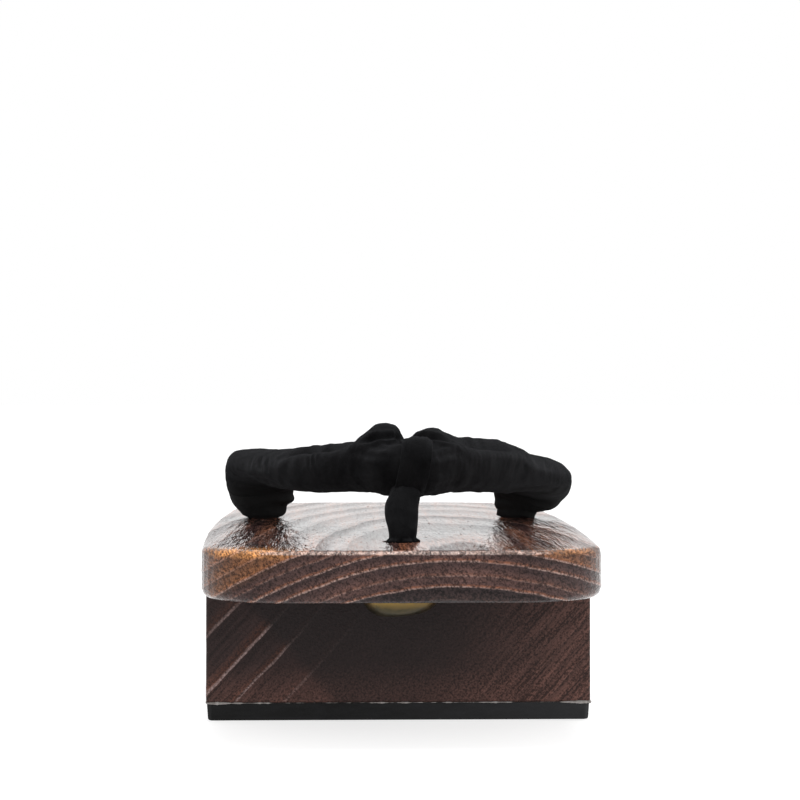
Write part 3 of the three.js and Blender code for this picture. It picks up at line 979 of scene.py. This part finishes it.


# Creases and folds: a line of points, its half width and its depth.
# Each is a trough with a soft ridge along both sides.
creases = [
    {"line": [(-35, -30, 74.2), (-27.5, -37, 74.6), (-22.9, -47, 74.9), (-16.6, -58, 75.6), (-13, -64, 77)],
     "width": 2.1, "depth": 2.4},
    {"line": [(14.6, -67.7, 79), (18, -63.2, 77), (23, -53.2, 76.2), (31.4, -37.6, 75.6), (38, -20.2, 74.8)],
     "width": 2.2, "depth": 2.6},
    {"line": [(-51, 8, 65.9), (-49.5, 4, 65.9), (-44.6, -6.7, 65.1), (-38.5, -22.9, 64.6), (-34, -30, 64.2)],
     "width": 1.4, "depth": 0.9},
    {"line": [(32.3, -34, 63.3), (41.4, -15.6, 61.9), (51.2, 1.4, 61.6), (56, 8, 62)],
     "width": 1.4, "depth": 0.8},
    {"line": [(-12.5, -70, 79), (-9.5, -72, 79), (-6.2, -73.6, 79.4), (-2.3, -73.7, 79.2),
              (1.2, -71.8, 79.3)],
     "width": 1.0, "depth": 1.2},
    {"line": [(4.7, -72.1, 79.4), (7.6, -72.6, 79.8), (11.4, -73.2, 79.4), (14.8, -71.2, 78.9),
              (18, -69, 78.4)],
     "width": 1.0, "depth": 1.1},
    {"line": [(-41.3, -10.4, 73.4), (-41.3, -18.3, 68.2)], "width": 0.8, "depth": 0.5},
    {"line": [(-39, -16.7, 73.8), (-38.7, -25.1, 68)], "width": 0.8, "depth": 0.6},
    {"line": [(-37.1, -24.4, 73.4), (-36.6, -30.5, 68.9)], "width": 0.7, "depth": 0.45},
    {"line": [(-44.4, -5.9, 72.4), (-44.5, -8.7, 68.5)], "width": 0.8, "depth": 0.4},
    {"line": [(-25.7, -50.5, 74.2), (-25.1, -53.2, 70.4)], "width": 0.8, "depth": 0.45},
    {"line": [(-23.8, -52.8, 74.4), (-23.1, -55.9, 70.8)], "width": 0.7, "depth": 0.4},
    {"line": [(37.2, -33, 74), (36.3, -37.9, 69)], "width": 0.8, "depth": 0.55},
    {"line": [(40.2, -23.9, 74), (39.8, -29.7, 69.2)], "width": 0.8, "depth": 0.45},
    {"line": [(34, -41.6, 73.4), (33, -44.9, 69.8)], "width": 0.7, "depth": 0.4},
    {"line": [(49.8, 1, 71.8), (48, -9.7, 68)], "width": 1.0, "depth": 0.5},
    {"line": [(-40.5, 20.6, 55.3), (-37.2, 22.1, 54.9), (-35.3, 23.4, 54.9), (-33.4, 26.1, 55),
              (-34, 30, 55)],
     "width": 1.4, "depth": 1.1},
    {"line": [(-37.7, 21, 58.6), (-35.4, 22, 59), (-33, 23.9, 59.4), (-33, 28, 59.6)],
     "width": 1.3, "depth": 0.9},
    {"line": [(36, 28, 57.3), (36.6, 23.2, 57.3), (38.8, 21.7, 56.7), (41.2, 20.7, 56.5)],
     "width": 1.4, "depth": 1.1},
    {"line": [(36.6, 28, 54.2), (37.1, 23.4, 54.2), (39.3, 22.2, 53.7), (42.1, 21.2, 53.8)],
     "width": 1.2, "depth": 0.8},
]


def crease(rings, normals, points, width, depth):
    points = np.array(points, float)
    nearest = np.full(rings.shape[:2], 1e9)
    fade = np.zeros(rings.shape[:2])
    lengths = np.linalg.norm(np.diff(points, axis=0), axis=1)
    total = lengths.sum()
    passed = 0
    for start, stop, length in zip(points[:-1], points[1:], lengths):
        way = (stop - start) / length
        u = np.clip(((rings - start) @ way) / length, 0, 1)
        gap = np.linalg.norm(rings - start - (u * length)[..., None] * way, axis=2)
        share = (passed + u * length) / total
        closer = gap < nearest
        fade[closer] = np.sin(math.pi * np.clip(share, 0.04, 0.96))[closer] ** 0.6
        nearest = np.minimum(nearest, gap)
        passed += length
    trough = np.exp(-(nearest / width) ** 2) - 0.4 * np.exp(-((nearest - 1.9 * width) / (0.9 * width)) ** 2)
    return -(depth * fade * trough)[..., None] * normals


# The two rounded loops that stand up each side of the band: middle, reach along x, y and z, and height
loops = [
    {"middle": (-3.2, -66, 79.5), "reach": (6.0, 9.0, 6.0), "height": 3.7},
    {"middle": (7.4, -66, 79.5), "reach": (5.6, 9.0, 6.0), "height": 2.2},
    {"middle": (13.5, -62, 79.0), "reach": (5.0, 9.0, 6.0), "height": 0.7},
]


def swell(rings, middle, reach, height):
    gap = (((rings - middle) / reach) ** 2).sum(-1)
    return (height * np.exp(-gap ** 1.9))[..., None] * (0, 0, 1)


def lumps(points, size, seed):
    # a soft uneven field from -1 to 1, with bumps about size across
    order = np.random.RandomState(seed)
    ways = unit(order.normal(size=(14, 3))) * (2 * math.pi / size) * order.uniform(0.6, 1.25, (14, 1))
    return np.sin(points @ ways.T + order.uniform(0, 2 * math.pi, 14)).sum(-1) / 5


def velvetMaterial():
    material, tree = newMaterial("black_velvet")
    place = placeInMillimetres(tree)
    nap = place.noise((2.6, 2.6, 2.6), 3.0, 0.7)
    brushed = place.noise((0.16, 0.10, 0.16), 3.0, 0.6)
    pile = place.noise((7.0, 7.0, 7.0), 1.0, 0.5)
    tone = (brushed * 1.6 + nap * 0.9 + 0.45).clamped()
    colour = tone.mix(rgb(0.0024, 0.0024, 0.0026), rgb(0.0094, 0.0094, 0.0100))
    y, z = place.parts()[1:]
    # painted light: the velvet is lighter low down at the feet, lifting the shade under the arms
    low = (1 - z.step(57, 66)) * y.step(-60, -30) * 0.9
    colour = low.mix(colour, rgb(0.0165, 0.0165, 0.0165))
    rough = (brushed * 0.2 + 0.86).clamped()
    height = (nap * 0.6 + pile * 0.5 + 0.5).clamped()
    finishMaterial(tree, {"Base Color": colour, "Roughness": rough, "Specular IOR Level": 0.0,
                          "Sheen Weight": 0.05, "Sheen Roughness": 0.4, "Sheen Tint": rgb(0.92, 0.94, 1.0),
                          "Normal": bump(tree, height, 0.22)})
    return material


def makeStrap(velvet):
    size = strapSizes
    rings = strapSkin(size["rings"], size["sides"])
    rough = strapSkin(size["simRings"], size["simSides"])
    moved = pressedOut(rough)
    moved = moved - evened(moved, pressSizes["window"])
    middle = (np.arange(len(moved)) / (len(moved) - 1) - 0.5) / pressSizes["calm"]
    moved *= (1 - pressSizes["calmShare"] * np.exp(-middle ** 2))[:, None, None]
    rings = rings + pressSizes["keep"] * resampled(moved, len(rings), size["sides"])
    for row in loops:
        rings = rings + swell(rings, row["middle"], row["reach"], row["height"])
    normals = gridNormals(rings)
    shift = np.zeros_like(rings)
    for row in creases:
        shift += crease(rings, normals, row["line"], row["width"], row["depth"])
    neck = size["neckRings"]
    share = np.clip((np.arange(len(rings)) - neck) / (size["rings"] - 1), 0, 1)
    angle = 2 * math.pi * np.arange(size["sides"]) / size["sides"]
    near = np.exp(-((np.abs(share - 0.5) - size["gatherPlace"]) / size["gatherReach"]) ** 2)
    gathered = near[:, None] * np.sin(size["gathers"] * angle)
    lumpy = size["lumps"] * lumps(rings, size["lumpSize"], 3)
    lumpy = lumpy + size["fineLumps"] * lumps(rings, size["fineLumpSize"], 5)
    free = np.clip(np.minimum(share, 1 - share) / 0.02, 0, 1)[:, None]
    shift += ((gathered * size["gatherDepth"] + lumpy) * free)[..., None] * normals
    rings = rings + shift
    points, faces = loft(rings)
    piece = meshPiece("padded_strap", points, faces, velvet)
    settle(piece, "strap_velvet", "straps")
    return rings


# The toe thong: a band round the strap's middle and a gathered post down through the toe hole

bandSizes = {
    "middleX": 4.3, "lean": 0.18, "curl": -0.0085, "front": 8.9, "back": 6.0, "over": 8.1, "under": 9.0,
    "thickness": 1.6, "width": 8.8, "roundness": 2.5, "steps": 180, "sides": 36, "pleat": 0.15, "pleats": 8,
    "crown": 0.6,
}
# the post's sections: x, y, height above the deck, and reach across and from front to back
postRows = np.array([
    (0.2, -94, -14.7, 3.9, 3.9),
    (0.3, -94, -4, 3.8, 3.8),
    (0.6, -93.9, 0.3, 3.4, 3.4),
    (0.7, -92.4, 3.6, 4.1, 3.9),
    (0.5, -88.9, 8.4, 4.7, 4.0),
    (1.5, -85.2, 12.6, 4.3, 3.8),
    (2.4, -82.4, 15.5, 3.6, 3.4),
])
postSizes = {
    "steps": 120, "sides": 64, "gathers": 9, "gatherDepth": 0.2, "waist": 2.6, "fray": 0.75,
    "frayReach": 0.55, "lumps": 0.14, "lumpSize": 4.0,
}


def makeBand(velvet):
    size = bandSizes
    middle = strapRows[10][:3] + (0, 0, deckTop)
    angle = 2 * math.pi * np.arange(size["steps"]) / size["steps"]
    back = roundedPower(np.cos(angle), size["roundness"])
    up = roundedPower(np.sin(angle), size["roundness"])
    reach = np.where(back > 0, size["back"], size["front"])
    lift = np.where(up > 0, size["over"], size["under"])
    turn = 2 * math.pi * np.arange(size["sides"]) / size["sides"]
    out = np.cos(turn) * 0.5 - 0.5
    aside = np.sin(turn)
    rings = []
    for index in range(size["steps"]):
        wave = aside * size["pleats"] + 0.7 * math.sin(angle[index] * 2)
        pleat = size["pleat"] * (np.sin(wave) + 0.5 * np.sin(2.3 * wave + 1)) * (out > -0.6)
        crown = size["crown"] * (1 - aside ** 2) * (out > -0.5)
        far = out * size["thickness"] + pleat + crown
        y = middle[1] + back[index] * (reach[index] + far)
        above = up[index] * (lift[index] + far)
        x = size["middleX"] + size["lean"] * above + size["curl"] * above ** 2 - aside * size["width"] / 2
        rings.append(np.column_stack([x, y, middle[2] + above]))
    points, faces = loft(np.array(rings), True)
    piece = meshPiece("thong_band", points, faces, velvet)
    settle(piece, "strap_velvet", "toe_thong")
    return piece


def makePost(velvet):
    size = postSizes
    t = np.linspace(0, 1, size["steps"])
    angle = 2 * math.pi * np.arange(size["sides"]) / size["sides"]
    rings = []
    for x, y, height, across, deep in rowsAt(postRows, t):
        tight = math.exp(-((height - 0.3) / size["waist"]) ** 2)
        wave = np.sin(size["gathers"] * angle + 0.5 * math.sin(height * 0.6))
        gather = size["gatherDepth"] * wave * (0.35 + 0.65 * tight)
        skirt = math.exp(-((height - 0.15) / size["frayReach"]) ** 2)
        grow = gather + size["fray"] * skirt * (0.8 + 0.6 * np.sin(angle * 5 + 1) + 0.5 * np.sin(angle * 12))
        rings.append(np.column_stack([x + (across + grow) * np.cos(angle), y + (deep + grow) * np.sin(angle),
                                      np.full(len(angle), deckTop + height)]))
    rings = np.array(rings)
    rings += (size["lumps"] * lumps(rings, size["lumpSize"], 9))[..., None] * gridNormals(rings)
    points, faces = loft(rings)
    piece = meshPiece("thong_post", points, faces, velvet)
    settle(piece, "strap_velvet", "toe_thong")
    return piece


# Tied knots under the deck: a three-ply cord in an overhand knot

knotSizes = {
    "radius": 7.6, "height": 9.5, "thongRadius": 6.4, "thongHeight": 4.8, "cord": 2.3, "ply": 0.52,
    "steps": 260, "plySides": 10, "twists": 22,
}


def cordMaterial():
    material, tree = newMaterial("twisted_cotton")
    place = placeInMillimetres(tree)
    fibre = place.noise((5.0, 5.0, 1.6), 3.0, 0.6)
    dull = place.noise((0.4, 0.4, 0.4), 2.0)
    colour = (fibre * 1.2 + dull * 0.8 + 0.5).clamped().mix(rgb(0.004, 0.004, 0.0045), rgb(0.02, 0.02, 0.022))
    finishMaterial(tree, {"Base Color": colour, "Roughness": (fibre * 0.2 + 0.85).clamped(),
                          "Specular IOR Level": 0.12, "Sheen Weight": 0.08, "Sheen Roughness": 0.5,
                          "Normal": bump(tree, fibre + 0.5, 0.12)})
    return material


def knotPath(t):
    # a trefoil, which is an overhand knot with its ends joined
    x = np.sin(t) + 2 * np.sin(2 * t)
    y = np.cos(t) - 2 * np.cos(2 * t)
    z = -np.sin(3 * t)
    return np.column_stack([x / 3, y / 3, z])


def makeKnot(name, node, middleX, middleY, top, radius, height, material):
    size = knotSizes
    cord = size["cord"] * radius / size["radius"]
    t = np.linspace(0, 2 * math.pi, size["steps"], endpoint=False)
    scale = np.array((radius - cord, radius - cord, height / 2 - cord))
    line = knotPath(t) * scale
    along = unit(np.roll(line, -1, 0) - np.roll(line, 1, 0))
    side = unit(np.cross(along, (0, 0, 1)))
    other = np.cross(along, side)
    points, faces = [], []
    angle = 2 * math.pi * np.arange(size["plySides"]) / size["plySides"]
    plyRadius = cord * size["ply"]
    for ply in range(3):
        turn = size["twists"] * t + ply * 2 * math.pi / 3
        heart = line + (cord - plyRadius) * (np.cos(turn)[:, None] * side + np.sin(turn)[:, None] * other)
        rings = heart[:, None] + plyRadius * (np.cos(angle)[None, :, None] * side[:, None]
                                              + np.sin(angle)[None, :, None] * other[:, None])
        more, skin = loft(rings, True)
        faces += [tuple(corner + len(points) * len(more) for corner in face) for face in skin]
        points.append(more)
    points = np.vstack(points) + (middleX, middleY, top - height / 2)
    piece = meshPiece(name, points, faces, material)
    return settle(piece, "knot_cord", node)


def makeKnots():
    material = cordMaterial()
    for side in ("left", "right"):
        low, high = [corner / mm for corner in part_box(side + "_strap_knot")]
        middle = (low + high) / 2
        makeKnot(side + "_tied_knot", side + "_strap_knot", middle.x, middle.y, high.z,
                 knotSizes["radius"], knotSizes["height"], material)
    x, y = postRows[0][:2]
    makeKnot("thong_knot", "toe_thong", x, y, deckBottom - 0.3,
             knotSizes["thongRadius"], knotSizes["thongHeight"], material)


# Stitches along the under seam of the strap

# side and start are shares of the way round and along the strap
stitchSizes = {"pitch": 3.1, "length": 2.3, "width": 0.4, "side": 0.78, "proud": 0.12, "start": 0.2}


def threadMaterial():
    material, tree = newMaterial("black_thread")
    ply = placeInMillimetres(tree).noise((6.0, 6.0, 6.0), 2.0, 0.5)
    colour = (ply + 0.5).mix(rgb(0.008, 0.008, 0.009), rgb(0.03, 0.03, 0.032))
    finishMaterial(tree, {"Base Color": colour, "Roughness": ply * 0.2 + 0.8, "Specular IOR Level": 0.1,
                          "Normal": bump(tree, ply + 0.5, 0.05)})
    return material


def stitchTree():
    inputs = {"Pitch": "Float", "Length": "Float", "Width": "Float", "Material": "Material"}
    tree, sockets = newTree("seam_stitches", inputs)
    line = Wire.node(tree, "GeometryNodeMeshToCurve", None, {"Mesh": sockets["Geometry"]})
    places = tree.nodes.new("GeometryNodeCurveToPoints")
    places.mode = "LENGTH"
    tree.links.new(line.socket, places.inputs["Curve"])
    tree.links.new(sockets["Pitch"].socket, places.inputs["Length"])
    grain = Wire.node(tree, "GeometryNodeMeshUVSphere", None, {"Segments": 6, "Rings": 5, "Radius": 1.0})
    half = Wire.node(tree, "ShaderNodeCombineXYZ", None,
                     {0: sockets["Width"] * 0.5, 1: sockets["Width"] * 0.5, 2: sockets["Length"] * 0.5})
    stitches = Wire.node(tree, "GeometryNodeInstanceOnPoints", None,
                         {"Points": Wire(tree, places.outputs["Points"]), "Instance": grain,
                          "Rotation": Wire(tree, places.outputs["Rotation"]), "Scale": half})
    closeTree(tree, stitches, sockets["Material"])
    return tree


def makeStitches(rings, normals):
    size = stitchSizes
    first = strapSizes["neckRings"] + round(size["start"] * strapSizes["rings"])
    side = round(size["side"] * strapSizes["sides"])
    line = (rings + size["proud"] * normals)[first:-first, side]
    edges = [(i, i + 1) for i in range(len(line) - 1)]
    mesh = bpy.data.meshes.new("seam_stitches")
    mesh.from_pydata([tuple(point) for point in line * mm], edges, [])
    piece = linkPiece("seam_stitches", mesh)
    values = {"Pitch": size["pitch"] * mm, "Length": size["length"] * mm, "Width": size["width"] * mm,
              "Material": threadMaterial()}
    applyTree(piece, stitchTree(), values)
    return settle(piece, "strap_velvet")


makeCamera()
makeStage()
print("stage ready")
makeDeck()
print("deck done")
makeTeeth()
makeRubber()
makeGlue()
print("teeth, pads and glue done")
makeCap()
velvet = velvetMaterial()
strapRings = makeStrap(velvet)
makeStitches(strapRings, gridNormals(strapRings))
print("strap done")
makeBand(velvet)
makePost(velvet)
makeKnots()
print("thong and knots done")
